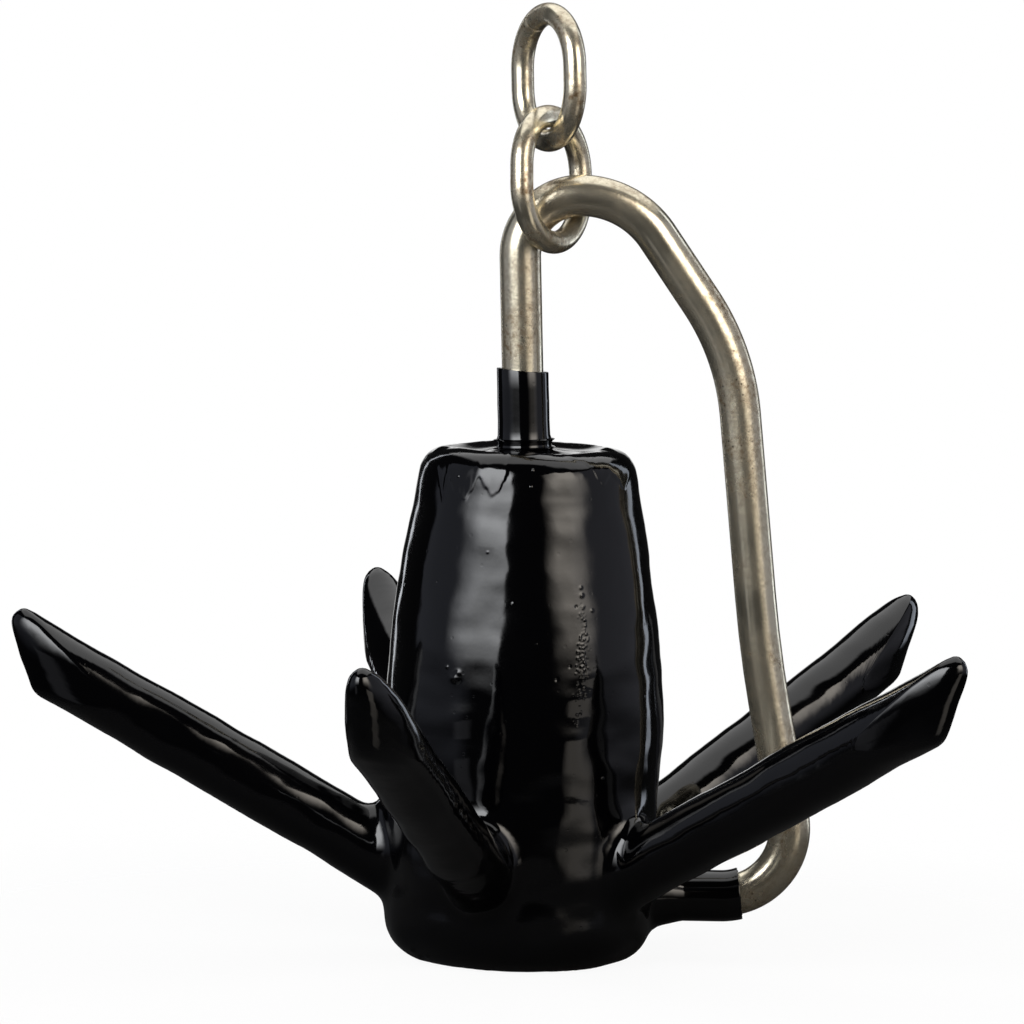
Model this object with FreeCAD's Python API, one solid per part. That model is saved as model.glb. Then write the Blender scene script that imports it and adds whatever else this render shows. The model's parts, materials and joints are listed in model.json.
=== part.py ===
import FreeCAD, Part
import math
import os

# A river anchor. An iron casting with five upswept flukes carries a bail bent from round rod,
# and one skin of vinyl covers the casting and the first stretch of both ends of the rod.
# Two chain links hang on the bail. Lengths are in millimetres, +Z is up, and the origin is
# the centre of the flat underside, on the axis of the casting. The bail lies in the XZ plane.
# Angles are in degrees.

V = FreeCAD.Vector
ORIGIN = V(0, 0, 0)
X_AXIS = V(1, 0, 0)
Y_AXIS = V(0, 1, 0)
Z_AXIS = V(0, 0, 1)
BIG = 1000.0
TOLERANCE = 0.001

# Vinyl skin
coat = 1.6
root_fillet = 5.0

# Iron weight, without its skin. Each corner of its half outline has a radius and a rounding.
weight_height = 154.3
foot_radius = 39.7
foot_round = 10.4
belly_radius = 41.0
belly_height = 94.0
belly_round = 200.0
crown_radius = 30.6
crown_round = 6.4
rim_radius = 24.0
rim_round = 3.0
dish_radius = 17.0
dish_depth = 1.3
dish_round = 5.6

# Flukes, cast with the weight: round arms with slanted ends
fluke_count = 5
fluke_diameter = 18.5
fluke_rise = 29.5
fluke_height_at_wall = 28.7
fluke_reach = 153.8
fluke_end_slant = 41.5
fluke_end_round = 2.4
first_fluke_turn = 180.0

# Bail rod: corners of its centre line, with the radius of the bend at each. The upright shank
# leans, and both ends are cast into the weight. The arch is measured from the crown, the
# shoulder from the arch and the elbow from the shoulder.
rod_diameter = 12.7
shank_crown_x = -1.1
shank_lean = 2.26
shank_sunk_depth = 58.0
arch_rise = 78.8
arch_bend = 18.5
shoulder_run = 34.21
shoulder_bend = 28.4
elbow_run = 32.9
elbow_drop = 47.3
elbow_bend = 73.8
knee_x = 72.6
knee_height = 95.6
knee_bend = 106.0
hook_x = 87.4
hook_height = 19.5
hook_bend = 20.9
hook_end_sunk_depth = 22.0

# Skin on the rod: how far each tube reaches from the crown or the wall, and how its end is cut,
# counted from level
upper_sleeve_reach = 25.1
upper_sleeve_slant = 4.0
lower_sleeve_reach = 28.3
lower_sleeve_slant = 83.0
sleeve_flare = 4.0
flare_length = 12.0
fold_count = 2
fold_radius = 1.3
fold_spread = 0.9
fold_spacing = 2.0
fold_height = 3.3

# Chain links. Their inner width leaves them loose on the rod.
link_wire = 7.0
link_inner_length = 31.5
link_side_play = 13.3
link_inner_width = rod_diameter + link_side_play

# Lower link: how far round the arch bend it hangs, counted from the top, where its centre is
# against the rod there, and how it is twisted
lower_link_place = 30.94
lower_link_forward = 2.77
lower_link_drop = 1.97
lower_link_lean = 7.0
lower_link_tilt = -5.5
lower_link_turn = 56.6

# Upper link: where its centre is, seen from the lower one, and how it stands in its top bow
upper_link_aside = 1.39
upper_link_back = 2.80
upper_link_slack = 0.50
upper_link_lean = -3.8
upper_link_tilt = 0.4
upper_link_turn = -62.0


def along(start, end, distance):
    """The point at a distance from start on the way to end."""
    way = end.sub(start)
    return start.add(way.multiply(distance / way.Length))


def rounded_path(corners):
    """Edges through corners (point, radius), with a tangent arc at each inner corner."""
    edges = []
    last = corners[0][0]
    for before, here, after in zip(corners, corners[1:], corners[2:]):
        point, radius = here
        turn = math.pi - before[0].sub(point).getAngle(after[0].sub(point))
        cut = radius * math.tan(turn / 2)
        start = along(point, before[0], cut)
        end = along(point, after[0], cut)
        inward = start.add(end).multiply(0.5).sub(point)
        reach = radius / math.cos(turn / 2) - radius
        middle = point.add(inward.multiply(reach / inward.Length))
        edges.append(Part.makeLine(last, start))
        edges.append(Part.Arc(start, middle, end).toShape())
        last = end
    edges.append(Part.makeLine(last, corners[-1][0]))
    return edges


def weight_body(skin):
    """The weight as a turned solid, grown outwards on all sides by skin."""
    top = coat + weight_height + skin
    floor = top - dish_depth
    corners = [
        (V(0, 0, coat - skin), 0),
        (V(foot_radius + skin, 0, coat - skin), foot_round + skin),
        (V(belly_radius + skin, 0, belly_height), belly_round + skin),
        (V(crown_radius + skin, 0, top), crown_round + skin),
        (V(rim_radius, 0, top), rim_round + skin),
        (V(dish_radius, 0, floor), dish_round - skin),
        (V(0, 0, floor), 0),
    ]
    outline = rounded_path(corners)
    outline.append(Part.makeLine(corners[-1][0], corners[0][0]))
    face = Part.Face(Part.Wire(outline))
    return face.revolve(ORIGIN, Z_AXIS, 360)


def fluke(skin):
    """One arm pointing along +X, grown by skin, with a slanted and rounded end."""
    rounding = fluke_end_round + skin
    peg_radius = fluke_diameter / 2 - fluke_end_round
    rise = math.radians(fluke_rise)
    slant = math.radians(fluke_end_slant)
    hub_height = fluke_height_at_wall - foot_radius * math.tan(rise)
    inner_end = foot_radius / 2
    length = fluke_reach / math.cos(rise) - fluke_end_round / math.sin(slant)
    uncut_length = length + 2 * peg_radius - inner_end
    peg = Part.makeCylinder(peg_radius, uncut_length, V(inner_end, 0, 0), X_AXIS)
    cutter = Part.makeBox(BIG, BIG, BIG, V(0, -BIG / 2, -BIG / 2))
    cutter.rotate(ORIGIN, Y_AXIS, 90 - fluke_end_slant)
    cutter.translate(V(length, 0, 0))
    arm = peg.cut(cutter).makeOffsetShape(rounding, TOLERANCE, join=0)
    arm.rotate(ORIGIN, Y_AXIS, -fluke_rise)
    arm.translate(V(0, 0, hub_height))
    return arm


def star(skin):
    """The weight and its flukes as one piece, grown by skin, with a fillet round each fluke."""
    arms = []
    for number in range(fluke_count):
        arm = fluke(skin)
        arm.rotate(ORIGIN, Z_AXIS, first_fluke_turn + number * 360 / fluke_count)
        arms.append(arm)
    shape = weight_body(skin).multiFuse(arms)
    roots = [e for e in shape.Edges if is_fluke_root(e)]
    return shape.makeFillet(root_fillet + coat - skin, roots).Solids[0]


def is_fluke_root(edge):
    """Whether an edge is one of the curves where a fluke meets the wall of the weight."""
    centre = edge.CenterOfMass
    near_wall = math.hypot(centre.x, centre.y) < max(belly_radius, foot_radius) + 2 * coat
    return near_wall and isinstance(edge.Curve, Part.BSplineCurve)


def rod_corners():
    """The corners of the bail's centre line, from its end in the crown to its end in the wall."""
    slope = math.tan(math.radians(shank_lean))
    crown = V(shank_crown_x, 0, coat + weight_height)
    arch = crown.add(V(-arch_rise * slope, 0, arch_rise))
    shoulder = arch.add(V(shoulder_run, 0, 0))
    return [
        (crown.add(V(shank_sunk_depth * slope, 0, -shank_sunk_depth)), 0),
        (arch, arch_bend),
        (shoulder, shoulder_bend),
        (shoulder.add(V(elbow_run, 0, -elbow_drop)), elbow_bend),
        (V(knee_x, 0, knee_height), knee_bend),
        (V(hook_x, 0, hook_height), hook_bend),
        (V(foot_radius - hook_end_sunk_depth, 0, hook_height), 0),
    ]


def round_bar(path, radius):
    """A round bar along a path of straight edges and tangent arcs."""
    runs = []
    for edge in path:
        start = edge.valueAt(edge.FirstParameter)
        heading = edge.tangentAt(edge.FirstParameter)
        section = Part.Face(Part.Wire(Part.makeCircle(radius, start, heading)))
        if isinstance(edge.Curve, Part.Line):
            runs.append(section.extrude(heading.multiply(edge.Length)))
        else:
            centre = edge.Curve.Center
            pivot = start.sub(centre).cross(heading)
            angle = math.degrees(edge.Length / edge.Curve.Radius)
            runs.append(section.revolve(centre, pivot, angle))
    return runs[0].multiFuse(runs[1:]).removeSplitter().Solids[0]


def bail(skin):
    """The bent rod, grown by skin."""
    return round_bar(rounded_path(rod_corners()), rod_diameter / 2 + skin)


def below(point, slant):
    """A big block under a plane through a point, its right side tipped down by slant degrees."""
    block = Part.makeBox(BIG, BIG, BIG, V(-BIG / 2, -BIG / 2, -BIG))
    block.rotate(ORIGIN, Y_AXIS, slant)
    block.translate(point)
    return block


def upper_sleeve():
    """The skin's tube on the shank, with two folds pushed down round its foot."""
    radius = rod_diameter / 2 + coat
    crown_height = coat + weight_height
    dish_floor = crown_height - dish_depth
    shank_start, arch_corner = rod_corners()[0][0], rod_corners()[1][0]
    slope = arch_corner.sub(shank_start).normalize()
    foot = shank_start.add(slope * (dish_floor - shank_start.z) * (1 / slope.z))
    end = V(foot.x, 0, crown_height + upper_sleeve_reach)
    length = 2 * (end.z - dish_floor)
    tube = Part.makeCylinder(radius, length, foot, slope).common(below(end, upper_sleeve_slant))
    folds = []
    for number in range(fold_count):
        place = foot.add(slope * (coat + fold_height - number * fold_spacing))
        folds.append(Part.makeTorus(radius + fold_spread, fold_radius, place, slope))
    flare = Part.makeCone(radius + 2 * fold_radius, radius, fold_height + coat, foot, slope)
    return tube.multiFuse(folds + [flare])


def lower_sleeve():
    """The skin's tube on the hooked end of the rod, flared where it leaves the wall."""
    radius = rod_diameter / 2 + coat
    start = V(foot_radius - coat, 0, hook_height)
    flare = Part.makeCone(radius + sleeve_flare, radius, flare_length + coat, start, X_AXIS)
    end = V(foot_radius + lower_sleeve_reach, 0, hook_height)
    side = below(end, lower_sleeve_slant)
    length = 2 * (end.x - start.x)
    box = Part.makeBox(length, 4 * radius, 4 * radius, start.sub(V(0, 2 * radius, 2 * radius)))
    return bail(coat).common(box).common(side).fuse(flare)


def chain_link(lean, tilt, turn):
    """A link round the origin, leant in its own plane, tilted out of it, then turned about Z."""
    bend = (link_inner_width + link_wire) / 2
    half = (link_inner_length - link_inner_width) / 2
    sides = [V(-bend, 0, -half), V(-bend, 0, half), V(bend, 0, half), V(bend, 0, -half)]
    path = [
        Part.makeLine(sides[0], sides[1]),
        Part.Arc(sides[1], V(0, 0, half + bend), sides[2]).toShape(),
        Part.makeLine(sides[2], sides[3]),
        Part.Arc(sides[3], V(0, 0, -half - bend), sides[0]).toShape(),
    ]
    link = round_bar(path, link_wire / 2)
    link.rotate(ORIGIN, Y_AXIS, lean)
    link.rotate(ORIGIN, X_AXIS, tilt)
    link.rotate(ORIGIN, Z_AXIS, turn)
    return link


def lower_link_centre():
    """The lower link's centre: the rod lies low in its eye, at its place on the arch bend."""
    arch_arc = rounded_path(rod_corners())[1].Curve
    place = math.radians(lower_link_place)
    rod_centre = arch_arc.Center.add(V(-math.sin(place), 0, math.cos(place)) * arch_bend)
    eye_bottom = rod_centre.z - rod_diameter / 2 - lower_link_drop
    return V(rod_centre.x, -lower_link_forward, eye_bottom + link_inner_length / 2)


def upper_link_centre():
    """The upper link's centre: its bottom bow lies in the top bow of the lower link."""
    rise = link_inner_length - upper_link_slack
    return lower_link_centre().add(V(-upper_link_aside, upper_link_back, rise))


casting_solid = star(0)
rod = bail(0)
sleeves = [upper_sleeve(), lower_sleeve()]
casting = casting_solid.cut(rod).Solids[0]
skin = star(coat).multiFuse(sleeves).cut(casting_solid).cut(rod).Solids[0]

lower_link = chain_link(lower_link_lean, lower_link_tilt, lower_link_turn)
lower_link.translate(lower_link_centre())
upper_link = chain_link(upper_link_lean, upper_link_tilt, upper_link_turn)
upper_link.translate(upper_link_centre())

parts = {
    "anchor_casting": casting,
    "bail_rod": rod,
    "vinyl_skin": skin,
    "lower_link": lower_link,
    "upper_link": upper_link,
}
os.makedirs("parts", exist_ok=True)
for name, shape in parts.items():
    shape.exportStep("parts/" + name + ".step")
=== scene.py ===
import json
import math
import random
import bpy
from mathutils import Matrix, Vector, kdtree

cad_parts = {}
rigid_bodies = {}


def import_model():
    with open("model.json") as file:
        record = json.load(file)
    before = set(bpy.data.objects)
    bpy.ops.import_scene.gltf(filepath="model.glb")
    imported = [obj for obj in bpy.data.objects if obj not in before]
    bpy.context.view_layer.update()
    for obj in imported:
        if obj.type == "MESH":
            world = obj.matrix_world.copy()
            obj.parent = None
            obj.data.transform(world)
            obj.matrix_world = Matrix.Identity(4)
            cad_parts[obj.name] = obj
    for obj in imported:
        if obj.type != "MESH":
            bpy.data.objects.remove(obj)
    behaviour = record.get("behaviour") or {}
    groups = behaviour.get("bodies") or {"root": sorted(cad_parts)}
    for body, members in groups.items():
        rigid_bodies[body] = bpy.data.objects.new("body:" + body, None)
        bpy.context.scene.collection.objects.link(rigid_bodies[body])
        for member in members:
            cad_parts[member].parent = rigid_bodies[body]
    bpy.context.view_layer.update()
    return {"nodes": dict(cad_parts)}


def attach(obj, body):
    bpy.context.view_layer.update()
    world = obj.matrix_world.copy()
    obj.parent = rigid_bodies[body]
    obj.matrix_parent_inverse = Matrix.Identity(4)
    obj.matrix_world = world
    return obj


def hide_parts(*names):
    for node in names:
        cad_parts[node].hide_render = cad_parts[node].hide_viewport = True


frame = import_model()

# A river anchor: an iron casting dipped in black vinyl, with a bail of bent steel rod and two
# loose chain links. The casting and the skin start from their CAD meshes. The rod and the links
# are modelled here, in the places and sizes of their CAD nodes. Lengths are in metres, and lists
# of places on the anchor are in millimetres.

bl_info = {
    "name": "River anchor",
    "version": (1, 0, 0),
    "blender": (4, 5, 0),
    "location": "3D View > Sidebar > River anchor",
    "description": "Models the skin, bail and links of a river anchor and sets its stage",
    "category": "Object",
}

MM = 0.001


# --- Settings ---------------------------------------------------------------------------------

class RodSettings(bpy.types.PropertyGroup):
    """The bail's round rod."""
    diameter: bpy.props.FloatProperty(
        name="Diameter", description="Diameter of the bail's rod",
        default=12.7 * MM, min=0.005, max=0.03, unit="LENGTH")
    sides: bpy.props.IntProperty(
        name="Sides", description="Faces round the rod", default=64, min=12, max=128)
    steel: bpy.props.StringProperty(
        name="Steel", description="Colour of the clean plating, as sRGB hex", default="E6DDC5")
    stain: bpy.props.StringProperty(
        name="Stain", description="Colour of the brown stains, as sRGB hex", default="735A3C")


class LinkSettings(bpy.types.PropertyGroup):
    """The two chain links."""
    wire: bpy.props.FloatProperty(
        name="Wire", description="Diameter of the link's wire",
        default=7.0 * MM, min=0.002, max=0.02, unit="LENGTH")
    inner_length: bpy.props.FloatProperty(
        name="Inner length", description="Length of the eye",
        default=31.5 * MM, min=0.01, max=0.1, unit="LENGTH")
    inner_width: bpy.props.FloatProperty(
        name="Inner width", description="Width of the eye",
        default=26.0 * MM, min=0.01, max=0.1, unit="LENGTH")
    seam_depth: bpy.props.FloatProperty(
        name="Seam depth", description="How deep the butt seam of the bent wire is",
        default=0.45 * MM, min=0.0, max=0.002, unit="LENGTH")
    sides: bpy.props.IntProperty(
        name="Sides", description="Faces round the wire", default=48, min=12, max=96)


class SkinSettings(bpy.types.PropertyGroup):
    """The vinyl skin."""
    grid: bpy.props.FloatProperty(
        name="Grid", description="Size of the faces that the skin is made of",
        default=1.5 * MM, min=0.0005, max=0.01, unit="LENGTH")
    thickness: bpy.props.FloatProperty(
        name="Thickness", description="Thickness of the skin on the rod",
        default=1.6 * MM, min=0.0005, max=0.005, unit="LENGTH")
    ripple: bpy.props.FloatProperty(
        name="Ripple", description="Height of the small waves that ran down the wet vinyl",
        default=0.44 * MM, min=0.0, max=0.003, unit="LENGTH")
    lump: bpy.props.FloatProperty(
        name="Lump", description="Height of the broad uneven places",
        default=1.5 * MM, min=0.0, max=0.005, unit="LENGTH")
    nose_depth: bpy.props.FloatProperty(
        name="Nose depth", description="How far the sides of a fluke's end lie behind its middle",
        default=27.0 * MM, min=0.0, max=0.05, unit="LENGTH")
    black: bpy.props.StringProperty(
        name="Black", description="Colour of the vinyl, as sRGB hex", default="020203")


class StageSettings(bpy.types.PropertyGroup):
    """The floor, the lamps and the camera."""
    lens: bpy.props.FloatProperty(
        name="Lens", description="Focal length of the camera in millimetres",
        default=202.0, min=20.0, max=400.0)
    softbox: bpy.props.FloatProperty(
        name="Softbox", description="Brightness of the big softboxes", default=6.5, min=0.0)
    strip: bpy.props.FloatProperty(
        name="Strip", description="Brightness of the narrow lamp behind on the right",
        default=1.9, min=0.0)
    floor_radius: bpy.props.FloatProperty(
        name="Floor radius", description="Radius of the pale floor",
        default=0.32, min=0.2, max=5.0, unit="LENGTH")


# --- Materials --------------------------------------------------------------------------------

# How fine the patterns are, in waves or cells per metre
PEEL_FINENESS = 260.0
GLOSS_FINENESS = 42.0
PORE_FINENESS = 210.0
GRAIN_FINENESS = 900.0
PIT_FINENESS = 420.0
SAND_FINENESS = 900.0

# How large the steel's mottling and its stains are
MOTTLE_SIZE = 2.2 * MM
ROD_STAIN_SIZE = 24 * MM
LINK_STAIN_SIZE = 11 * MM

PIT_COLOUR = "3A332B"
IRON_DARK = "4A4642"
IRON_LIGHT = "6B6660"


def linear(colour):
    """An sRGB hex colour as a linear RGBA tuple."""
    channels = [int(colour[place:place + 2], 16) / 255 for place in (0, 2, 4)]
    return tuple(c / 12.92 if c <= 0.04045 else ((c + 0.055) / 1.055) ** 2.4
                 for c in channels) + (1.0,)


def add_node(tree, kind, inputs=None, **settings):
    """Adds a node with its settings. An input is given a value, or a socket to link from."""
    node = tree.nodes.new(kind)
    for name, value in settings.items():
        setattr(node, name, value)
    for name, value in (inputs or {}).items():
        if isinstance(value, bpy.types.NodeSocket):
            tree.links.new(value, node.inputs[name])
        else:
            node.inputs[name].default_value = value
    return node


def new_material(name):
    """An empty node material."""
    material = bpy.data.materials.new(name)
    material.use_nodes = True
    material.node_tree.nodes.clear()
    return material


def dress(piece, material):
    """Gives the whole piece one material."""
    piece.data.materials.clear()
    piece.data.materials.append(material)


def dipped_vinyl(black):
    """Vinyl plastisol, dipped hot and cured: a thick, wet-looking gloss black with a faint
    orange-peel surface, a few pinholes and burst bubbles."""
    material = new_material("Vinyl plastisol, hot dipped")
    tree = material.node_tree
    place = add_node(tree, "ShaderNodeTexCoord").outputs["Object"]
    peel = add_node(tree, "ShaderNodeTexNoise", {
        "Vector": place, "Scale": PEEL_FINENESS, "Detail": 2.0})
    cloud = add_node(tree, "ShaderNodeTexNoise", {
        "Vector": place, "Scale": GLOSS_FINENESS, "Detail": 3.0})
    pores = add_node(tree, "ShaderNodeTexVoronoi", {
        "Vector": place, "Scale": PORE_FINENESS, "Randomness": 1.0})
    pore = add_node(tree, "ShaderNodeMapRange", {
        "Value": pores.outputs["Distance"], "From Min": 0.05, "From Max": 0.12})
    sparse = add_node(tree, "ShaderNodeMath", {
        0: pore.outputs["Result"], 1: cloud.outputs["Fac"]}, operation="MAXIMUM")
    relief = add_node(tree, "ShaderNodeMath", {
        0: sparse.outputs["Value"], 1: peel.outputs["Fac"]}, operation="ADD")
    bump = add_node(tree, "ShaderNodeBump", {
        "Strength": 0.10, "Distance": 0.0002, "Height": relief.outputs["Value"]})
    gloss = add_node(tree, "ShaderNodeMapRange", {
        "Value": cloud.outputs["Fac"],
        "From Min": 0.3, "From Max": 0.7, "To Min": 0.05, "To Max": 0.12})
    surface = add_node(tree, "ShaderNodeBsdfPrincipled", {
        "Base Color": linear(black), "Roughness": gloss.outputs["Result"], "IOR": 1.52,
        "Normal": bump.outputs["Normal"]})
    add_node(tree, "ShaderNodeOutputMaterial", {"Surface": surface.outputs["BSDF"]})
    return material


def plated_steel(name, steel, stain, stain_size):
    """Mild steel, cold bent and electroplated: satin warm grey, mottled brown and less metallic
    where the plating has worn thin and rust shows through, with fine dark pits there."""
    material = new_material(name)
    tree = material.node_tree
    place = add_node(tree, "ShaderNodeTexCoord").outputs["Object"]
    blotch = add_node(tree, "ShaderNodeTexNoise", {
        "Vector": place, "Scale": 1 / stain_size, "Detail": 5.0, "Roughness": 0.6})
    stained = add_node(tree, "ShaderNodeMapRange", {
        "Value": blotch.outputs["Fac"],
        "From Min": 0.42, "From Max": 0.64, "To Min": 0.05, "To Max": 0.95})
    mottle = add_node(tree, "ShaderNodeTexNoise", {
        "Vector": place, "Scale": 1 / MOTTLE_SIZE, "Detail": 4.0, "Roughness": 0.7})
    mottled = add_node(tree, "ShaderNodeMapRange", {
        "Value": mottle.outputs["Fac"],
        "From Min": 0.38, "From Max": 0.62, "To Min": 0.15, "To Max": 1.0})
    rusted = add_node(tree, "ShaderNodeMath", {
        0: stained.outputs["Result"], 1: mottled.outputs["Result"]}, operation="MULTIPLY")
    grain = add_node(tree, "ShaderNodeTexNoise", {
        "Vector": place, "Scale": GRAIN_FINENESS, "Detail": 3.0})
    pits = add_node(tree, "ShaderNodeTexVoronoi", {
        "Vector": place, "Scale": PIT_FINENESS, "Randomness": 1.0})
    pit = add_node(tree, "ShaderNodeMapRange", {
        "Value": pits.outputs["Distance"], "From Min": 0.06, "From Max": 0.16})
    sound = add_node(tree, "ShaderNodeMapRange", {
        "Value": blotch.outputs["Fac"],
        "From Min": 0.48, "From Max": 0.60, "To Min": 1.0, "To Max": 0.0})
    whole = add_node(tree, "ShaderNodeMath", {
        0: pit.outputs["Result"], 1: sound.outputs["Result"]}, operation="MAXIMUM")
    colour = add_node(tree, "ShaderNodeMix", {
        "Factor": rusted.outputs["Value"],
        6: linear(steel), 7: linear(stain)}, data_type="RGBA")
    pitted = add_node(tree, "ShaderNodeMix", {
        "Factor": whole.outputs["Value"],
        6: linear(PIT_COLOUR), 7: colour.outputs[2]}, data_type="RGBA")
    matt = add_node(tree, "ShaderNodeMapRange", {
        "Value": blotch.outputs["Fac"],
        "From Min": 0.3, "From Max": 0.7, "To Min": 0.18, "To Max": 0.32})
    relief = add_node(tree, "ShaderNodeMath", {
        0: whole.outputs["Value"], 1: grain.outputs["Fac"]}, operation="ADD")
    bump = add_node(tree, "ShaderNodeBump", {
        "Strength": 0.25, "Distance": 0.0001, "Height": relief.outputs["Value"]})
    bare = add_node(tree, "ShaderNodeMapRange", {
        "Value": rusted.outputs["Value"], "To Min": 0.95, "To Max": 0.6})
    surface = add_node(tree, "ShaderNodeBsdfPrincipled", {
        "Base Color": pitted.outputs[2], "Metallic": bare.outputs["Result"],
        "Roughness": matt.outputs["Result"], "Normal": bump.outputs["Normal"]})
    add_node(tree, "ShaderNodeOutputMaterial", {"Surface": surface.outputs["BSDF"]})
    return material


def cast_iron():
    """Grey iron, sand cast: dark, rough and grainy. The vinyl skin covers all of it."""
    material = new_material("Grey iron, sand cast")
    tree = material.node_tree
    place = add_node(tree, "ShaderNodeTexCoord").outputs["Object"]
    sand = add_node(tree, "ShaderNodeTexNoise", {
        "Vector": place, "Scale": SAND_FINENESS, "Detail": 4.0})
    colour = add_node(tree, "ShaderNodeMix", {
        "Factor": sand.outputs["Fac"],
        6: linear(IRON_DARK), 7: linear(IRON_LIGHT)}, data_type="RGBA")
    bump = add_node(tree, "ShaderNodeBump", {
        "Strength": 0.6, "Distance": 0.0004, "Height": sand.outputs["Fac"]})
    surface = add_node(tree, "ShaderNodeBsdfPrincipled", {
        "Base Color": colour.outputs[2], "Metallic": 0.7, "Roughness": 0.75,
        "Normal": bump.outputs["Normal"]})
    add_node(tree, "ShaderNodeOutputMaterial", {"Surface": surface.outputs["BSDF"]})
    return material


# --- Working in edit mode ---------------------------------------------------------------------

# How close two vertices are to be one: in a CAD mesh, and in a bar made here
CAD_MERGE = 0.001 * MM
BAR_MERGE = 0.002 * MM


def take(piece):
    """Makes the piece the only selected one, in object mode."""
    if bpy.context.object and bpy.context.object.mode != "OBJECT":
        bpy.ops.object.mode_set(mode="OBJECT")
    bpy.ops.object.select_all(action="DESELECT")
    piece.select_set(True)
    bpy.context.view_layer.objects.active = piece


def pick(piece, test, kind="VERT"):
    """Goes into edit mode with only the vertices or faces selected whose place passes a test."""
    take(piece)
    bpy.ops.object.mode_set(mode="EDIT")
    bpy.ops.mesh.select_mode(type=kind)
    bpy.ops.mesh.select_all(action="DESELECT")
    bpy.ops.object.mode_set(mode="OBJECT")
    if kind == "VERT":
        for vertex in piece.data.vertices:
            vertex.select = test(vertex.co)
    else:
        for face in piece.data.polygons:
            face.select = test(face.center)
    bpy.ops.object.mode_set(mode="EDIT")


def copy_of(node, name):
    """A copy of a CAD node to shape further, with its doubled vertices merged."""
    piece = bpy.data.objects.new(name, frame["nodes"][node].data.copy())
    bpy.context.collection.objects.link(piece)
    take(piece)
    bpy.ops.object.mode_set(mode="EDIT")
    bpy.ops.mesh.select_all(action="SELECT")
    bpy.ops.mesh.remove_doubles(threshold=CAD_MERGE)
    bpy.ops.object.mode_set(mode="OBJECT")
    return piece


def apply_modifier(piece, kind, **settings):
    """Adds a modifier, sets it and applies it."""
    take(piece)
    modifier = piece.modifiers.new(kind.title(), kind)
    for name, value in settings.items():
        setattr(modifier, name, value)
    bpy.ops.object.modifier_apply(modifier=modifier.name)


def close_up(piece, sharp_angle):
    """Fills open ends, merges doubles, turns the faces outwards and smooths the shading."""
    take(piece)
    bpy.ops.object.mode_set(mode="EDIT")
    bpy.ops.mesh.select_mode(type="VERT")
    bpy.ops.mesh.select_all(action="SELECT")
    bpy.ops.mesh.remove_doubles(threshold=BAR_MERGE)
    bpy.ops.mesh.fill_holes(sides=0)
    bpy.ops.mesh.select_all(action="SELECT")
    bpy.ops.mesh.normals_make_consistent(inside=False)
    bpy.ops.object.mode_set(mode="OBJECT")
    bpy.ops.object.shade_smooth_by_angle(angle=math.radians(sharp_angle))


def start_bar(name, point, heading, radius, sides):
    """Starts a bar: an open ring in edit mode, square to its heading."""
    bpy.ops.object.select_all(action="DESELECT")
    bpy.ops.mesh.primitive_circle_add(
        vertices=sides, radius=radius, location=point,
        rotation=Vector(heading).to_track_quat("Z", "Y").to_euler())
    bar = bpy.context.object
    bar.name = name
    bpy.ops.object.transform_apply(location=True, rotation=True, scale=True)
    bpy.ops.object.mode_set(mode="EDIT")
    bpy.ops.mesh.select_all(action="SELECT")
    return bar


def run_on(way):
    """Extrudes the bar's last ring straight on."""
    bpy.ops.mesh.extrude_edges_move(TRANSFORM_OT_translate={"value": way})


def swell(centre, factor):
    """Scales the bar's last ring about its centre."""
    bpy.ops.transform.resize(value=(factor, factor, factor), center_override=centre)


def bend_on(centre, axis, angle, step):
    """Spins the bar's last ring about a centre. With no window, spin turns the other way."""
    steps = max(1, round(angle / step))
    bpy.ops.mesh.spin(steps=steps, angle=-angle, center=centre, axis=axis)


def bends(corners):
    """For each inner corner (point, radius) of a path: where its arc starts and ends, its
    centre, its axis and its angle."""
    arcs = []
    for before, here, after in zip(corners, corners[1:], corners[2:]):
        arriving = (here[0] - before[0]).normalized()
        leaving = (after[0] - here[0]).normalized()
        angle = arriving.angle(leaving)
        axis = arriving.cross(leaving).normalized()
        cut = here[1] * math.tan(angle / 2)
        start = here[0] - arriving * cut
        end = here[0] + leaving * cut
        arcs.append((start, end, start + axis.cross(arriving) * here[1], axis, angle))
    return arcs


# --- Bail rod ---------------------------------------------------------------------------------

# The top of the crown with its skin, how far the shank leans, and the turn from one ring of a
# bend to the next
CROWN_HEIGHT = 155.9 * MM
SHANK_LEAN = math.radians(2.26)
ROD_BEND_STEP = math.radians(1.5)


def rod_corners():
    """The corners of the bail's centre line and its bend at each, as in the CAD model, but for
    the slight bend above the hook, which is longer, so that no edge shows where it starts."""
    crown = Vector((-1.1, 0, 155.9)) * MM
    shank = Vector((-math.tan(SHANK_LEAN), 0, 1))
    arch = crown + shank * 78.8 * MM
    shoulder = arch + Vector((34.21, 0, 0)) * MM
    elbow = shoulder + Vector((32.9, 0, -47.3)) * MM
    return [
        (crown - shank * 58 * MM, 0),
        (arch, 18.5 * MM),
        (shoulder, 28.4 * MM),
        (elbow, 73.8 * MM),
        (Vector((72.6, 0, 95.6)) * MM, 400 * MM),
        (Vector((87.4, 0, 19.5)) * MM, 20.9 * MM),
        (Vector((17.7, 0, 19.5)) * MM, 0),
    ]


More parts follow.
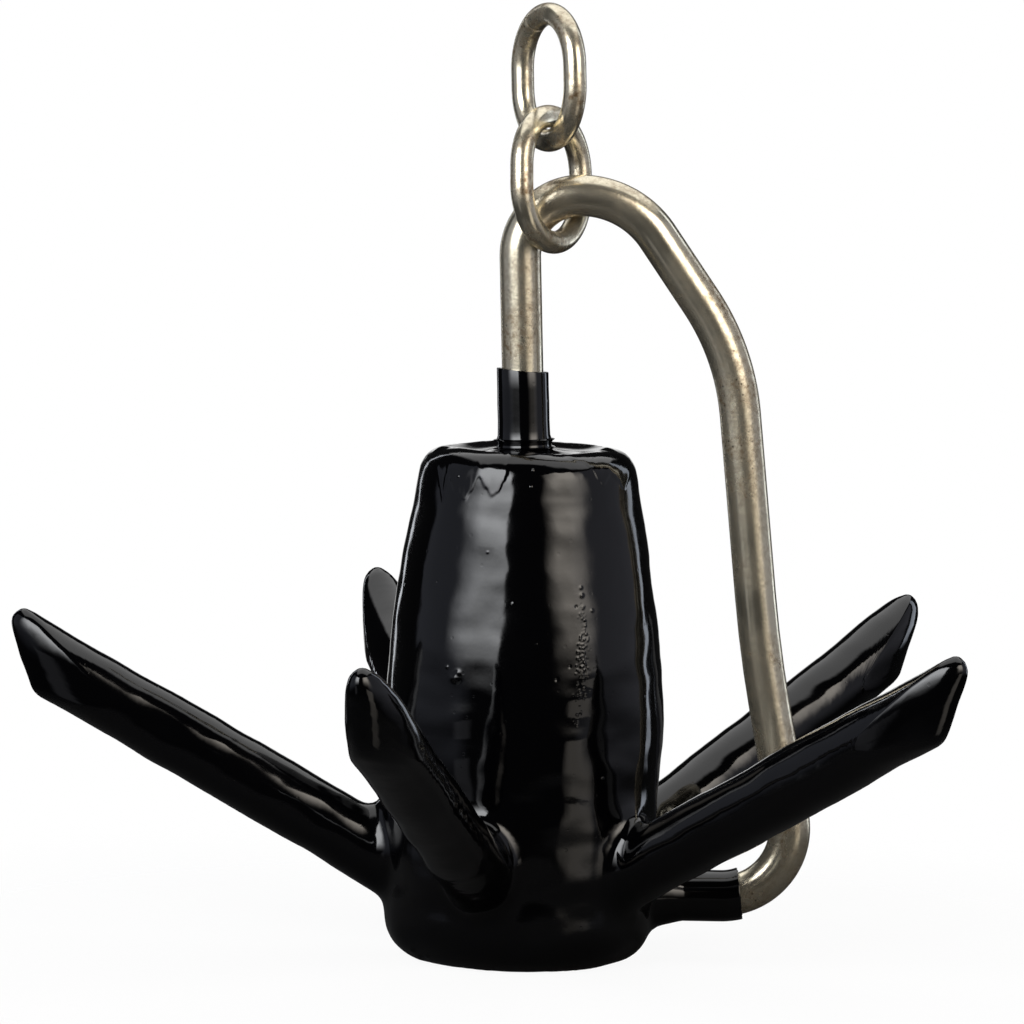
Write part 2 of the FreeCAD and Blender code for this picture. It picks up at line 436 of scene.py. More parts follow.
class BendBail(bpy.types.Operator):
    """Bends the bail from round rod, in place of its CAD node"""
    bl_idname = "anchor.bend_bail"
    bl_label = "Bend the bail"

    def execute(self, context):
        look = context.scene.anchor_rod
        corners = rod_corners()
        start = corners[0][0]
        heading = corners[1][0] - start
        rod = start_bar("bail_bent_rod", start, heading, look.diameter / 2, look.sides)
        here = start
        for arc_start, arc_end, centre, axis, angle in bends(corners):
            run_on(arc_start - here)
            bend_on(centre, axis, angle, ROD_BEND_STEP)
            here = arc_end
        run_on(corners[-1][0] - here)
        close_up(rod, 50)
        dress(rod, plated_steel(
            "Mild steel, bent and plated", look.steel, look.stain, ROD_STAIN_SIZE))
        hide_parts("bail_rod")
        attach(rod, "anchor")
        return {"FINISHED"}


# --- Chain links ------------------------------------------------------------------------------

# Each link's name, whether its butt seam shows, its centre in mm, and how it is leant, tilted
# and turned in degrees
LINKS = (
    ("lower_link", False, (5.523, -2.77, 239.498), 7.0, -5.5, 56.6),
    ("upper_link", True, (4.133, 0.03, 270.498), -3.8, 0.4, -62.0),
)
LINK_BEND_STEP = math.radians(4)

# The butt seam: where it is on the upper bow, the turn from ring to ring across it, and the size
# of the wire at its shoulders
SEAM_ANGLE = math.radians(62)
SEAM_TURNS = (0.006, 0.004, 0.010, 0.004, 0.006)
SEAM_SHOULDER = 0.985


class BendLinks(bpy.types.Operator):
    """Bends the two chain links from wire, in place of their CAD nodes"""
    bl_idname = "anchor.bend_links"
    bl_label = "Bend the links"

    def execute(self, context):
        look = context.scene.anchor_link
        rod_look = context.scene.anchor_rod
        steel = plated_steel(
            "Mild steel chain, welded and plated", rod_look.steel, rod_look.stain, LINK_STAIN_SIZE)
        for node, seamed, centre, lean, tilt, turn in LINKS:
            link = self.bend(node + "_bent_wire", look, seamed)
            turned = (Matrix.Rotation(math.radians(turn), 4, "Z")
                      @ Matrix.Rotation(math.radians(tilt), 4, "X")
                      @ Matrix.Rotation(math.radians(lean), 4, "Y"))
            link.matrix_world = Matrix.Translation(Vector(centre) * MM) @ turned
            take(link)
            bpy.ops.object.transform_apply(location=True, rotation=True, scale=True)
            dress(link, steel)
            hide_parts(node)
            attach(link, node)
        return {"FINISHED"}

    def bend(self, name, look, seamed):
        """One link round the origin; the ends of its wire may meet in a narrow seam."""
        bow = (look.inner_width + look.wire) / 2
        half = (look.inner_length - look.inner_width) / 2
        top, bottom = Vector((0, 0, half)), Vector((0, 0, -half))
        axis = Vector((0, 1, 0))
        link = start_bar(name, (-bow, 0, -half), (0, 0, 1), look.wire / 2, look.sides)
        run_on(top - bottom)
        bend_on(top, axis, SEAM_ANGLE, LINK_BEND_STEP)
        turned = SEAM_ANGLE
        groove = 1 - 2 * look.seam_depth / look.wire
        factors = (SEAM_SHOULDER, groove, 1.0, 1 / groove, 1 / SEAM_SHOULDER)
        for angle, factor in zip(SEAM_TURNS, factors) if seamed else ():
            bend_on(top, axis, angle, angle)
            turned += angle
            spoke = Vector((-math.cos(turned), 0, math.sin(turned)))
            swell(top + spoke * bow, factor)
        bend_on(top, axis, math.pi - turned, LINK_BEND_STEP)
        run_on(bottom - top)
        bend_on(bottom, axis, math.pi, LINK_BEND_STEP)
        close_up(link, 50)
        return link


# --- Vinyl skin -------------------------------------------------------------------------------

# Flukes: how far out they stand clear of the weight, their number, rise and the slant of their
# ends, how high their axes start, how long they are with the skin on, half their width, how far
# back a nose begins, and the most that a place counts as aside, as a share of half the width
FLUKE_CLEAR = 75 * MM
FLUKE_COUNT = 5
FLUKE_RISE = math.radians(29.5)
FLUKE_SLANT = math.radians(41.5)
FLUKE_HUB = 6.24 * MM
FLUKE_LENGTH = 179.1 * MM
FLUKE_HALF_WIDTH = 10.85 * MM
NOSE_RANGE = 62 * MM
MOST_ASIDE = 0.98

# How often the form is evened out, and the cuts that divide a face at a run mark and at a bubble
SMOOTHING_ROUNDS = 9
RUN_CUTS = 2
SPOT_CUTS = 4

# The waves of the surface: the setting that gives their height, their size, and how much wider
# than high they are
WAVES = (("ripple", 8 * MM, 2.6), ("lump", 22 * MM, 1.3))

# The CAD skin's own sleeves, which are cut off: how far from the rod's line their faces lie, how
# far below the crown's top the upper one starts and how far above it the cut is; where the one on
# the hooked end starts along X, its top, and its cut along X
SLEEVE_ZONE = 14 * MM
CROWN_ZONE = 2 * MM
CROWN_CUT = 1.2 * MM
HOOK_ZONE_START = 40 * MM
HOOK_ZONE_TOP = 36 * MM
HOOK_CUT = 53 * MM

# Half the rod's diameter in mm, on which both sleeves sit, the faces round a sleeve, and how far
# the edge of its cut end is rounded
ROD_HALF = 6.35
SLEEVE_SIDES = 96
SLEEVE_BEVEL = 0.3 * MM

# The sleeve on the shank: its foot in mm, its rings, and the height and slant of its cut end. The
# rings of its two pleats have their height and radius in mm; those above have their height and
# how much wider they are than the plain tube.
SHANK_SLEEVE_FOOT = (-1.05, 0, 154.6)
PLEAT_RINGS = (
    (0, 9.7), (0.9, 9.4), (1.4, 8.6), (1.9, 8.6), (2.4, 9.2), (2.6, 9.6), (2.75, 9.4), (3.0, 8.5),
    (3.6, 8.3), (4.5, 8.7), (5.0, 9.4), (5.15, 9.5), (5.3, 9.2), (5.5, 8.4), (6.4, 8.1),
)
TUBE_RINGS = ((8, 0.08), (11, 0), (16, 0.05), (21, -0.03), (30, 0))
SHANK_SLEEVE_TOP = 181 * MM
SHANK_SLEEVE_SLANT = math.radians(4)

# The sleeve on the hooked end: where it starts and where it is cut, in mm, how far it follows the
# bend, from ring to ring, and the slant of its cut end
HOOK_SLEEVE_START = (50, 0, 19.5)
HOOK_SLEEVE_END = (68, 0, 19.5)
HOOK_SLEEVE_BEND = math.radians(32)
HOOK_SLEEVE_STEP = math.radians(2)
HOOK_SLEEVE_SLANT = math.radians(83)

# Where the last layer stopped running on the front, as x and height in mm; the band of heights
# that it lies in and the height that stands for no run; then how thick the layer is, half the
# width of its edge and how far up it fades
RUN_LINE = (
    (-31.0, 152.5), (-27.7, 151.0), (-26.7, 146.5), (-25.9, 141.7), (-25.1, 146.5),
    (-24.3, 150.0), (-22.1, 145.3), (-20.1, 143.3), (-19.1, 143.2), (-17.3, 145.7),
    (-15.0, 150.3), (-12.8, 147.1), (-11.1, 144.7), (-9.2, 145.9), (-7.4, 149.5),
    (-5.5, 156.0), (9.0, 157.0), (16.5, 155.0), (19.1, 152.8), (21.5, 149.4),
    (22.6, 147.9), (25.0, 151.0), (27.2, 149.3), (29.2, 146.2), (31.5, 151.0),
)
RUN_BAND = (137, 158)
NO_RUN_HEIGHT = 160.0
RUN_LAYER = 0.16
RUN_EDGE = 0.45
RUN_FADE = 6.0

# Single marks on the front: x, height, size and how far they stand out, in mm
SPOTS = (
    (-21.1, 89.9, 1.9, 0.55), (-20.2, 91.6, 1.2, 0.3), (-23.6, 93.0, 0.6, 0.25),
    (16.3, 117.7, 0.7, 0.2), (16.6, 115.4, 0.9, 0.25), (15.0, 112.1, 0.5, -0.25),
    (19.8, 110.8, 0.6, 0.2), (13.4, 94.2, 0.5, -0.25), (9.5, 90.4, 0.6, -0.3),
    (-21.3, 150.0, 0.5, 0.2), (1.2, 152.9, 0.5, 0.2), (0.7, 147.9, 0.5, 0.2),
    (-27.0, 118.0, 0.45, -0.2), (-12.0, 128.0, 0.45, 0.15), (-4.0, 113.0, 0.5, 0.2),
    (3.0, 101.0, 0.5, 0.2), (-30.2, 1.8, 1.6, 0.5), (-32.7, 4.0, 1.4, 0.4),
    (-28.0, 3.0, 1.1, 0.3), (24.0, 60.0, 0.5, 0.2),
)

# Strings of small bubbles: from and to in x and height in mm, and how many; then how far they
# scatter to the sides, their least and most size and height in mm, and the seed of their draw
BUBBLE_STRINGS = (
    ((16.8, 113.0), (17.6, 104.0), 40),
    ((18.0, 104.0), (16.4, 96.0), 90),
    ((17.0, 98.0), (17.4, 91.0), 110),
    ((16.6, 90.0), (15.6, 76.0), 30),
)
BUBBLE_SCATTER = 0.75
BUBBLE_SIZES = (0.28, 0.5)
BUBBLE_HEIGHTS = (-0.05, 0.16)
BUBBLE_SEED = 11

# How far from a mark the faces are divided, and how far its foot and its rounding reach, as
# shares of its size
SPOT_ZONE = 2.2 * MM
SPOT_REACH = 1.6
SPOT_ROUNDING = 0.62

# Broad bulges: centre, half sizes and height in mm
BULGES = (
    ((42.0, 0.0, 72.0), (14, 22, 26), 1.0),
    ((-26.5, -6.0, 157.0), (4, 6, 3), 0.7),
    ((24.0, -4.0, 158.0), (4, 6, 3), 0.7),
)


def smooth_step(share):
    """0 up to 0, 1 from 1 on, and a smooth rise between."""
    share = min(max(share, 0), 1)
    return share * share * (3 - 2 * share)


def point_flukes(piece, nose_depth):
    """Draws the end of each fluke out to a nose: what is off its middle moves back along it."""
    step = 2 * math.pi / FLUKE_COUNT
    across = nose_depth / math.sin(FLUKE_SLANT)
    for vertex in piece.data.vertices:
        if math.hypot(vertex.co.x, vertex.co.y) < FLUKE_CLEAR:
            continue
        turn = math.pi + round((math.atan2(vertex.co.y, vertex.co.x) - math.pi) / step) * step
        out = Vector((math.cos(turn), math.sin(turn), 0))
        axis = out * math.cos(FLUKE_RISE) + Vector((0, 0, math.sin(FLUKE_RISE)))
        arm = vertex.co - Vector((0, 0, FLUKE_HUB))
        aside = min(abs(arm.dot(out.cross((0, 0, 1)))) / FLUKE_HALF_WIDTH, MOST_ASIDE)
        height = arm.z * math.cos(FLUKE_RISE) - arm.dot(out) * math.sin(FLUKE_RISE)
        behind = FLUKE_LENGTH + height / math.tan(FLUKE_SLANT) - arm.dot(axis)
        near_end = min(max(1 - behind / NOSE_RANGE, 0), 1) ** 2
        vertex.co -= axis * across * (1 - math.sqrt(1 - aside * aside)) * near_end


def run_line_height(x):
    """The height of the run line at x, in mm."""
    for (x0, z0), (x1, z1) in zip(RUN_LINE, RUN_LINE[1:]):
        if x0 <= x <= x1:
            return z0 + (z1 - z0) * smooth_step((x - x0) / (x1 - x0))
    return NO_RUN_HEIGHT


class DipSkin(bpy.types.Operator):
    """Dips the casting: one wavy vinyl skin with its two sleeves, in place of its CAD node"""
    bl_idname = "anchor.dip_skin"
    bl_label = "Dip the skin"

    def execute(self, context):
        look = context.scene.anchor_skin
        skin = self.smooth_form(look)
        point_flukes(skin, look.nose_depth)
        self.ripple(skin, look)
        self.run_marks(skin)
        self.spots(skin)
        for vertex in skin.data.vertices:
            vertex.co.z = max(vertex.co.z, 0)
        for sleeve in (self.shank_sleeve(look), self.hook_sleeve(look)):
            apply_modifier(skin, "BOOLEAN", operation="UNION", solver="MANIFOLD", object=sleeve)
            bpy.data.objects.remove(sleeve)
        bpy.ops.object.shade_smooth_by_angle(angle=math.radians(42))
        dress(skin, dipped_vinyl(look.black))
        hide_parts("vinyl_skin")
        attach(skin, "anchor")
        return {"FINISHED"}

    def smooth_form(self, look):
        """The outer form of the CAD skin, without its sleeves, in even faces."""
        skin = copy_of("vinyl_skin", "dipped_vinyl_skin")
        on_shank = lambda p: (p.z > CROWN_HEIGHT - CROWN_ZONE
                              and math.hypot(p.x, p.y) < SLEEVE_ZONE)
        self.cut_off(skin, on_shank, (0, 0, CROWN_HEIGHT + CROWN_CUT), (0, 0, 1))
        on_hook = lambda p: (p.x > HOOK_ZONE_START and abs(p.y) < SLEEVE_ZONE
                             and p.z < HOOK_ZONE_TOP)
        self.cut_off(skin, on_hook, (HOOK_CUT, 0, 0), (1, 0, 0))
        tip = min(skin.data.vertices, key=lambda vertex: vertex.co.x).index
        pick(skin, lambda p: False)
        bpy.ops.object.mode_set(mode="OBJECT")
        skin.data.vertices[tip].select = True
        bpy.ops.object.mode_set(mode="EDIT")
        bpy.ops.mesh.select_linked()
        bpy.ops.mesh.select_all(action="INVERT")
        bpy.ops.mesh.delete(type="VERT")
        bpy.ops.object.mode_set(mode="OBJECT")
        apply_modifier(skin, "REMESH", mode="VOXEL", voxel_size=look.grid, adaptivity=0.0)
        apply_modifier(skin, "SMOOTH", factor=0.5, iterations=SMOOTHING_ROUNDS)
        return skin

    def cut_off(self, skin, test, point, normal):
        """Cuts a sleeve off at a plane and closes what is left."""
        pick(skin, test, "FACE")
        bpy.ops.mesh.bisect(plane_co=point, plane_no=normal, clear_outer=True)
        bpy.ops.mesh.select_mode(type="VERT")
        bpy.ops.mesh.select_all(action="DESELECT")
        bpy.ops.mesh.select_non_manifold()
        bpy.ops.mesh.fill_holes(sides=0)
        bpy.ops.object.mode_set(mode="OBJECT")

    def ripple(self, skin, look):
        """Moves the surface in and out, in small ripples and broad lumps."""
        for name, size, width in WAVES:
            texture = bpy.data.textures.new(name, "CLOUDS")
            texture.noise_scale = size
            texture.noise_depth = 1
            bpy.ops.object.empty_add(location=(0, 0, 0))
            stretch = bpy.context.object
            stretch.scale = (width, width, 1)
            apply_modifier(skin, "DISPLACE", texture=texture, texture_coords="OBJECT",
                           texture_coords_object=stretch, strength=getattr(look, name),
                           mid_level=0.5)
            bpy.data.objects.remove(stretch)
            bpy.data.textures.remove(texture)

    def run_marks(self, skin):
        """Raises the last layer below the crown a little, down to the scalloped line where it
        stopped running."""
        near = lambda p: (p.y < 0 and RUN_BAND[0] * MM < p.z < RUN_BAND[1] * MM
                          and RUN_LINE[0][0] * MM < p.x)
        self.refine(skin, near, RUN_CUTS)
        normals = [vertex.normal.copy() for vertex in skin.data.vertices]
        for vertex, normal in zip(skin.data.vertices, normals):
            above = vertex.co.z / MM - run_line_height(vertex.co.x / MM)
            if near(vertex.co) and above > -RUN_EDGE:
                edge = smooth_step((above + RUN_EDGE) / (2 * RUN_EDGE))
                vertex.co += normal * RUN_LAYER * MM * edge * smooth_step(1 - above / RUN_FADE)

    def spots(self, skin):
        """Raises bubbles and pimples and sinks pinholes in the front of the weight."""
        strewn = random.Random(BUBBLE_SEED)
        spots = list(SPOTS)
        for (x0, z0), (x1, z1), count in BUBBLE_STRINGS:
            for number in range(count):
                share = strewn.random()
                x = x0 + (x1 - x0) * share + strewn.gauss(0, BUBBLE_SCATTER)
                z = z0 + (z1 - z0) * share
                spots.append(
                    (x, z, strewn.uniform(*BUBBLE_SIZES), strewn.uniform(*BUBBLE_HEIGHTS)))
        marked = kdtree.KDTree(len(spots))
        for number, (x, z, size, height) in enumerate(spots):
            marked.insert((x * MM, 0, z * MM), number)
        marked.balance()
        near = lambda p: p.y < 0 and marked.find((p.x, 0, p.z))[2] < SPOT_ZONE
        self.refine(skin, near, SPOT_CUTS)
        tree = kdtree.KDTree(len(skin.data.vertices))
        for vertex in skin.data.vertices:
            tree.insert((vertex.co.x, 0 if vertex.co.y < 0 else 1, vertex.co.z), vertex.index)
        tree.balance()
        normals = [vertex.normal.copy() for vertex in skin.data.vertices]
        for x, z, size, height in spots:
            for place, index, away in tree.find_range((x * MM, 0, z * MM), SPOT_REACH * size * MM):
                bump = math.exp(-(away / (SPOT_ROUNDING * size * MM)) ** 2)
                skin.data.vertices[index].co += normals[index] * height * MM * bump
        for place, size, height in BULGES:
            centre = Vector(place) * MM
            for vertex, normal in zip(skin.data.vertices, normals):
                away = vertex.co - centre
                reach = Vector([part / half for part, half in zip(away, size)]).length / MM
                if reach < 1:
                    vertex.co += normal * height * MM * smooth_step(1 - reach)

    def refine(self, skin, test, cuts):
        """Divides the faces in one place more finely."""
        pick(skin, test, "FACE")
        bpy.ops.mesh.subdivide(number_cuts=cuts, smoothness=1.0)
        bpy.ops.object.mode_set(mode="OBJECT")

    def shank_sleeve(self, look):
        """The tube on the shank, with two sharp pleats pushed down round its foot."""
        way = Vector((-math.tan(SHANK_LEAN), 0, 1)).normalized()
        foot = Vector(SHANK_SLEEVE_FOOT) * MM
        tube = look.thickness / MM + ROD_HALF
        rings = [*PLEAT_RINGS, *((along, tube + more) for along, more in TUBE_RINGS)]
        sleeve = start_bar("shank_sleeve", foot, way, rings[0][1] * MM, SLEEVE_SIDES)
        for (last, wide), (along, radius) in zip(rings, rings[1:]):
            run_on(way * (along - last) * MM)
            swell(foot + way * along * MM, radius / wide)
        close_up(sleeve, 40)
        self.trim(sleeve, (foot.x, 0, SHANK_SLEEVE_TOP), SHANK_SLEEVE_SLANT)
        return sleeve

    def hook_sleeve(self, look):
        """The tube on the hooked end, which follows the rod into its bend."""
        start = Vector(HOOK_SLEEVE_START) * MM
        arc_start, arc_end, centre, axis, angle = bends(rod_corners())[-1]
        tube = look.thickness + ROD_HALF * MM
        sleeve = start_bar("hook_sleeve", start, (1, 0, 0), tube, SLEEVE_SIDES)
        run_on((arc_end.x - start.x, 0, 0))
        bend_on(centre, -axis, HOOK_SLEEVE_BEND, HOOK_SLEEVE_STEP)
        close_up(sleeve, 40)
        self.trim(sleeve, [place * MM for place in HOOK_SLEEVE_END], HOOK_SLEEVE_SLANT)
        return sleeve

    def trim(self, sleeve, point, slant):
        """Cuts a sleeve's end at a plane and takes the edge off."""
        normal = (math.sin(slant), 0, math.cos(slant))
        take(sleeve)
        bpy.ops.object.mode_set(mode="EDIT")
        bpy.ops.mesh.select_all(action="SELECT")
        bpy.ops.mesh.bisect(plane_co=point, plane_no=normal, clear_outer=True, use_fill=True)
        bpy.ops.mesh.bevel(offset=SLEEVE_BEVEL, segments=2, affect="EDGES")
        bpy.ops.object.mode_set(mode="OBJECT")


# --- Casting ----------------------------------------------------------------------------------

class FinishCasting(bpy.types.Operator):
    """Points the flukes of the casting inside the skin as the skin's are, and gives it its iron"""
    bl_idname = "anchor.finish_casting"
    bl_label = "Finish the casting"

    def execute(self, context):
        casting = copy_of("anchor_casting", "cast_iron_weight")
        point_flukes(casting, context.scene.anchor_skin.nose_depth)
        close_up(casting, 40)
        dress(casting, cast_iron())
        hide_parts("anchor_casting")
        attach(casting, "anchor")
        return {"FINISHED"}


# --- Stage ------------------------------------------------------------------------------------

# Softboxes round the anchor: name, azimuth from the camera (to the right is positive), width
# and lower and upper edge as seen from the anchor, in degrees, its share of the brightness,
# its colour, and how soft its left, right and lower edges are, as shares of its size
SOFTBOXES = (
    ("left_softbox", -44, 54, -5, 42, 1.15, "FAFCFF", (0.5, 0.06, 0.6)),
    ("left_wall", -74, 68, -20, 42, 0.045, "E6ECFF", (0.08, 0.3, 0.35)),
    ("right_softbox", 43, 50, -5, 42, 0.70, "FFF6EA", (0.4, 0.4, 0.6)),
    ("right_wall", 78, 72, -20, 42, 0.05, "EEF0FF", (0.3, 0.08, 0.35)),
    ("right_low_card", 47, 32, -40, -7, 0.11, "FFF6EA", (0.3, 0.3, 0.1)),
    ("left_low_card", -48, 24, -30, -8, 0.03, "F4F6FF", (0.3, 0.3, 0.1)),
    ("left_rim_strip", -146, 4, -12, 40, 0.4, "F4F8FF", (0.1, 0.1, 0.1)),
)
# The same for the strip behind on the right, whose brightness is a setting of its own
RIGHT_RIM_STRIP = ("right_rim_strip", 123, 13, -12, 42)
RIGHT_RIM_COLOUR = "E8F1FF"
RIGHT_RIM_SOFT = (0.05, 0.05, 0.1)
# How far the softboxes stand from the anchor, and the place that their angles are seen from
LAMP_DISTANCE = 1.25
AIM = Vector((0, 0, 90 * MM))

# The lamp overhead: its centre, its size, its share of the softboxes' brightness, and how soft
# its edges are
CEILING_PLACE = (0.15, 0.55, 1.3)
CEILING_SIZE = (2.0, 1.9)
CEILING_SHARE = 0.2
CEILING_SOFT = (0.1, 0.1, 0.1)

# The floor: its tone as the camera sees it and as the anchor's reflections and the light do, how
# much of what the camera sees is plain white, and where it starts and ends fading, as shares of
# its radius
FLOOR_SEEN = "F2F2F2"
FLOOR_TONE = "484848"
FLOOR_WHITE = 0.93
FLOOR_FADE = (0.5, 0.98)

# The room: how bright it is to every ray but the camera's, and how nearly straight behind the
# anchor it turns white in reflections, as the Y of their direction
ROOM_LIGHT = 0.012
WHITE_BEHIND = (0.97, 0.995)

# The camera: the angles that it looks from in degrees, its distance, and where it looks, in mm
CAMERA_AZIMUTH, CAMERA_HEIGHT, CAMERA_ROLL = -0.566, 4.938, 1.080
CAMERA_DISTANCE = 1.7636
CAMERA_TARGET = (-4.533, 0, 137.241)


class SetStage(bpy.types.Operator):
    """Puts the anchor on a pale floor among softboxes and sets the camera"""
    bl_idname = "anchor.set_stage"
    bl_label = "Set the stage"

    def execute(self, context):
        look = context.scene.anchor_stage
        self.floor(look)
        for name, azimuth, width, low, high, share, colour, soft in SOFTBOXES:
            self.softbox(name, azimuth, width, low, high, look.softbox * share, colour, soft)
        self.softbox(*RIGHT_RIM_STRIP, look.strip, RIGHT_RIM_COLOUR, RIGHT_RIM_SOFT)
        self.lamp("ceiling", CEILING_PLACE, (0, 0, 0), CEILING_SIZE,
                  look.softbox * CEILING_SHARE, "FFFFFF", CEILING_SOFT)
        self.world(context)
        self.camera(context, look)
        view = context.scene.view_settings
        view.view_transform = "Standard"
        return {"FINISHED"}

    def floor(self, look):
        """A round floor, nearly white to the eye, that keeps a trace of the anchor's shadow and
        fades out towards its rim. In reflections it is a dark grey."""
        bpy.ops.object.select_all(action="DESELECT")
        bpy.ops.mesh.primitive_circle_add(vertices=96, radius=look.floor_radius, fill_type="NGON")
        floor = bpy.context.object
        floor.name = "floor"
        material = new_material("Pale matt board")
        tree = material.node_tree
        rays = add_node(tree, "ShaderNodeLightPath")
        tone = add_node(tree, "ShaderNodeMix", {
            "Factor": rays.outputs["Is Camera Ray"],
            6: linear(FLOOR_TONE), 7: linear(FLOOR_SEEN)}, data_type="RGBA")
        paper = add_node(tree, "ShaderNodeBsdfDiffuse", {"Color": tone.outputs[2]})
        white = add_node(tree, "ShaderNodeEmission", {"Color": (1, 1, 1, 1), "Strength": 1.0})
        seen = add_node(tree, "ShaderNodeMath", {
            0: rays.outputs["Is Camera Ray"], 1: FLOOR_WHITE}, operation="MULTIPLY")
        mixed = add_node(tree, "ShaderNodeMixShader", {
            "Fac": seen.outputs["Value"], 1: paper.outputs["BSDF"], 2: white.outputs["Emission"]})
        place = add_node(tree, "ShaderNodeTexCoord").outputs["Object"]
        radius = add_node(tree, "ShaderNodeVectorMath", {0: place}, operation="LENGTH")
        gone = add_node(tree, "ShaderNodeMapRange", {
            "Value": radius.outputs["Value"], "From Min": FLOOR_FADE[0] * look.floor_radius,
            "From Max": FLOOR_FADE[1] * look.floor_radius}, interpolation_type="SMOOTHSTEP")
        clear = add_node(tree, "ShaderNodeBsdfTransparent")
        faded = add_node(tree, "ShaderNodeMixShader", {
            "Fac": gone.outputs["Result"], 1: mixed.outputs["Shader"], 2: clear.outputs["BSDF"]})
        add_node(tree, "ShaderNodeOutputMaterial", {"Surface": faded.outputs["Shader"]})
        dress(floor, material)

    def softbox(self, name, azimuth, width, low, high, radiance, colour, soft):
        """An upright lamp facing the anchor, placed and sized by the angles at which it is seen."""
        turn = math.radians(azimuth)
        out = Vector((math.sin(turn), -math.cos(turn), 0))
        bottom = AIM.z + LAMP_DISTANCE * math.tan(math.radians(low))
        top = AIM.z + LAMP_DISTANCE * math.tan(math.radians(high))
        centre = out * LAMP_DISTANCE + Vector((0, 0, (bottom + top) / 2))
        size = (2 * LAMP_DISTANCE * math.tan(math.radians(width / 2)), top - bottom)
        self.lamp(name, centre, (math.pi / 2, 0, turn), size, radiance, colour, soft)

    def lamp(self, name, centre, rotation, size, radiance, colour, soft):
        """A flat lamp that fades towards its left, right and lower edges. Its energy is the one
        at which the strength in its nodes is its radiance."""
        bpy.ops.object.light_add(type="AREA", location=centre, rotation=rotation)
        lamp = bpy.context.object
        lamp.name = name
        lamp.data.shape = "RECTANGLE"
        lamp.data.size, lamp.data.size_y = size
        lamp.data.energy = math.pi * lamp.data.size * lamp.data.size_y
        lamp.data.use_nodes = True
        tree = lamp.data.node_tree
        tree.nodes.clear()
        spot = add_node(tree, "ShaderNodeNewGeometry").outputs["Parametric"]
        across = add_node(tree, "ShaderNodeSeparateXYZ", {"Vector": spot})
        glow = radiance
        for axis, start, end in (("X", 0, soft[0]), ("X", 1, 1 - soft[1]), ("Y", 0, soft[2])):
            edge = add_node(tree, "ShaderNodeMapRange", {
                "Value": across.outputs[axis], "From Min": start, "From Max": end},
                interpolation_type="SMOOTHSTEP")
            dimmed = add_node(tree, "ShaderNodeMath", {
                0: edge.outputs["Result"], 1: glow}, operation="MULTIPLY")
            glow = dimmed.outputs["Value"]
        emission = add_node(tree, "ShaderNodeEmission", {"Color": linear(colour), "Strength": glow})
        add_node(tree, "ShaderNodeOutputLight", {"Surface": emission.outputs["Emission"]})

    def world(self, context):
        """White to the eye all round, but in reflections only straight behind the anchor. The
        rest of the room is nearly dark."""
        world = context.scene.world or bpy.data.worlds.new("Studio")
        context.scene.world = world
        world.use_nodes = True
        tree = world.node_tree
        tree.nodes.clear()
        rays = add_node(tree, "ShaderNodeLightPath")
        direction = add_node(tree, "ShaderNodeTexCoord").outputs["Generated"]
        parts = add_node(tree, "ShaderNodeSeparateXYZ", {"Vector": direction})
        behind = add_node(tree, "ShaderNodeMapRange", {
            "Value": parts.outputs["Y"],
            "From Min": WHITE_BEHIND[0], "From Max": WHITE_BEHIND[1]})
        mirrored = add_node(tree, "ShaderNodeMath", {
            0: rays.outputs["Is Glossy Ray"],
            1: rays.outputs["Is Transmission Ray"]}, operation="MAXIMUM")
        shown = add_node(tree, "ShaderNodeMath", {
            0: mirrored.outputs["Value"],
            1: behind.outputs["Result"]}, operation="MULTIPLY")
        white = add_node(tree, "ShaderNodeMath", {
            0: shown.outputs["Value"], 1: rays.outputs["Is Camera Ray"]}, operation="MAXIMUM")
        strength = add_node(tree, "ShaderNodeMapRange", {
            "Value": white.outputs["Value"], "To Min": ROOM_LIGHT, "To Max": 1.0})
        background = add_node(tree, "ShaderNodeBackground", {
            "Color": (1, 1, 1, 1), "Strength": strength.outputs["Result"]})
        add_node(tree, "ShaderNodeOutputWorld", {"Surface": background.outputs["Background"]})

    def camera(self, context, look):
        """A long lens, slightly above and turned a little about its own axis."""
        azimuth, height, roll = (
            math.radians(angle) for angle in (CAMERA_AZIMUTH, CAMERA_HEIGHT, CAMERA_ROLL))
        bpy.ops.object.camera_add()
        camera = bpy.context.object
        camera.name = "camera"
        camera.data.lens = look.lens
        camera.data.sensor_width = 36
        back = Vector((math.sin(azimuth) * math.cos(height),
                       -math.cos(azimuth) * math.cos(height), math.sin(height)))
        right = Vector((math.cos(azimuth), math.sin(azimuth), 0))
        up = back.cross(right)
        turned_right = right * math.cos(roll) + up * math.sin(roll)
        turned_up = up * math.cos(roll) - right * math.sin(roll)
        place = Matrix((turned_right, turned_up, back)).transposed().to_4x4()
        place.translation = Vector(CAMERA_TARGET) * MM + back * CAMERA_DISTANCE
        camera.matrix_world = place
        context.scene.camera = camera


# --- Panel ------------------------------------------------------------------------------------

class AnchorPanel(bpy.types.Panel):
    """Lists the steps and their settings"""
    bl_label = "River anchor"
    bl_idname = "VIEW3D_PT_river_anchor"
    bl_space_type = "VIEW_3D"
    bl_region_type = "UI"
    bl_category = "River anchor"

    def draw(self, context):
        for group, step in (("anchor_rod", BendBail), ("anchor_link", BendLinks),
                            ("anchor_skin", DipSkin), (None, FinishCasting),
                            ("anchor_stage", SetStage)):
            box = self.layout.box()
            if group:
                settings = getattr(context.scene, group)
                for name in settings.__annotations__:
                    box.prop(settings, name)
            box.operator(step.bl_idname)


SETTINGS = {
    "anchor_rod": RodSettings,
    "anchor_link": LinkSettings,
    "anchor_skin": SkinSettings,
    "anchor_stage": StageSettings,
}
CLASSES = (*SETTINGS.values(), BendBail, BendLinks, DipSkin, FinishCasting, SetStage, AnchorPanel)


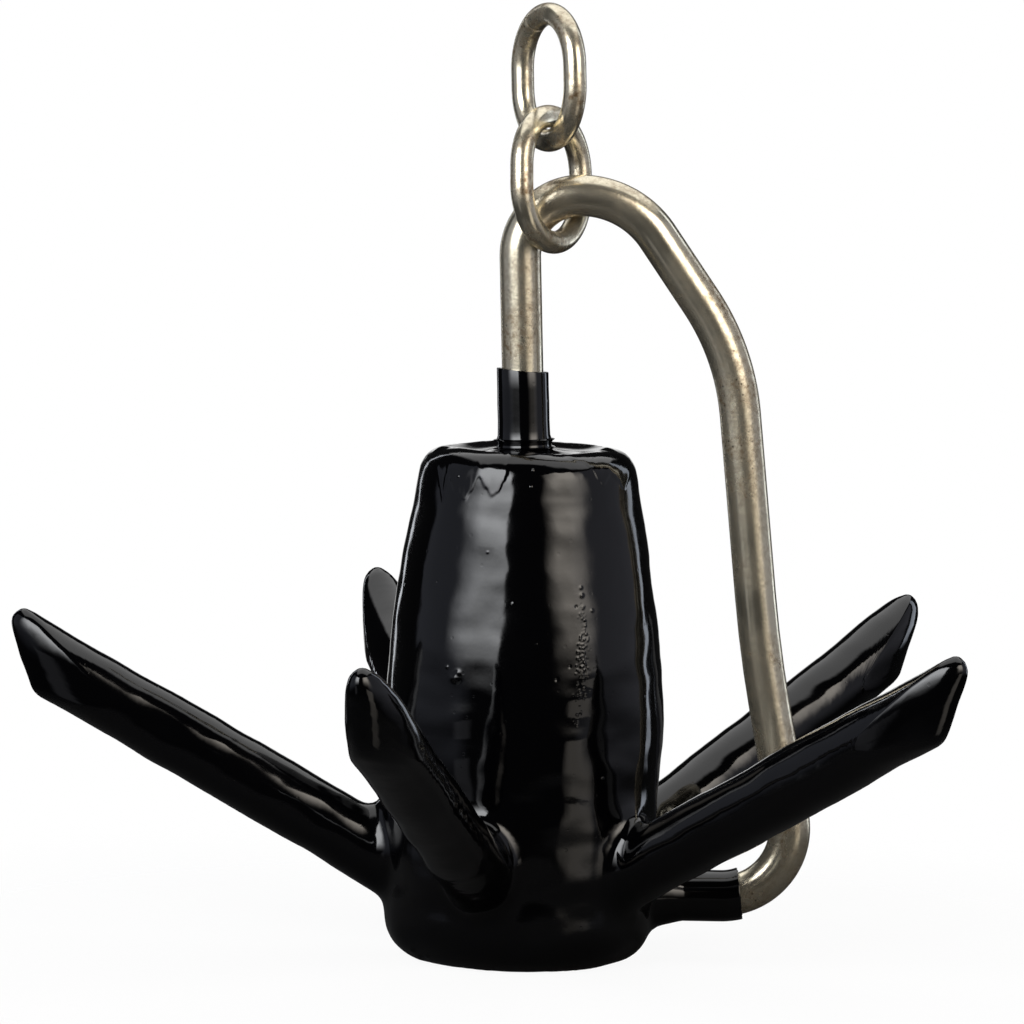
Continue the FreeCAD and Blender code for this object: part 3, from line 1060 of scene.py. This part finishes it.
def register():
    for cls in CLASSES:
        bpy.utils.register_class(cls)
    for name, cls in SETTINGS.items():
        setattr(bpy.types.Scene, name, bpy.props.PointerProperty(type=cls))


def unregister():
    for name in SETTINGS:
        delattr(bpy.types.Scene, name)
    for cls in reversed(CLASSES):
        bpy.utils.unregister_class(cls)


def main():
    """Registers the add-on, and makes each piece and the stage."""
    register()
    bpy.ops.anchor.bend_bail()
    bpy.ops.anchor.bend_links()
    bpy.ops.anchor.dip_skin()
    bpy.ops.anchor.finish_casting()
    bpy.ops.anchor.set_stage()


if __name__ == "__main__":
    main()
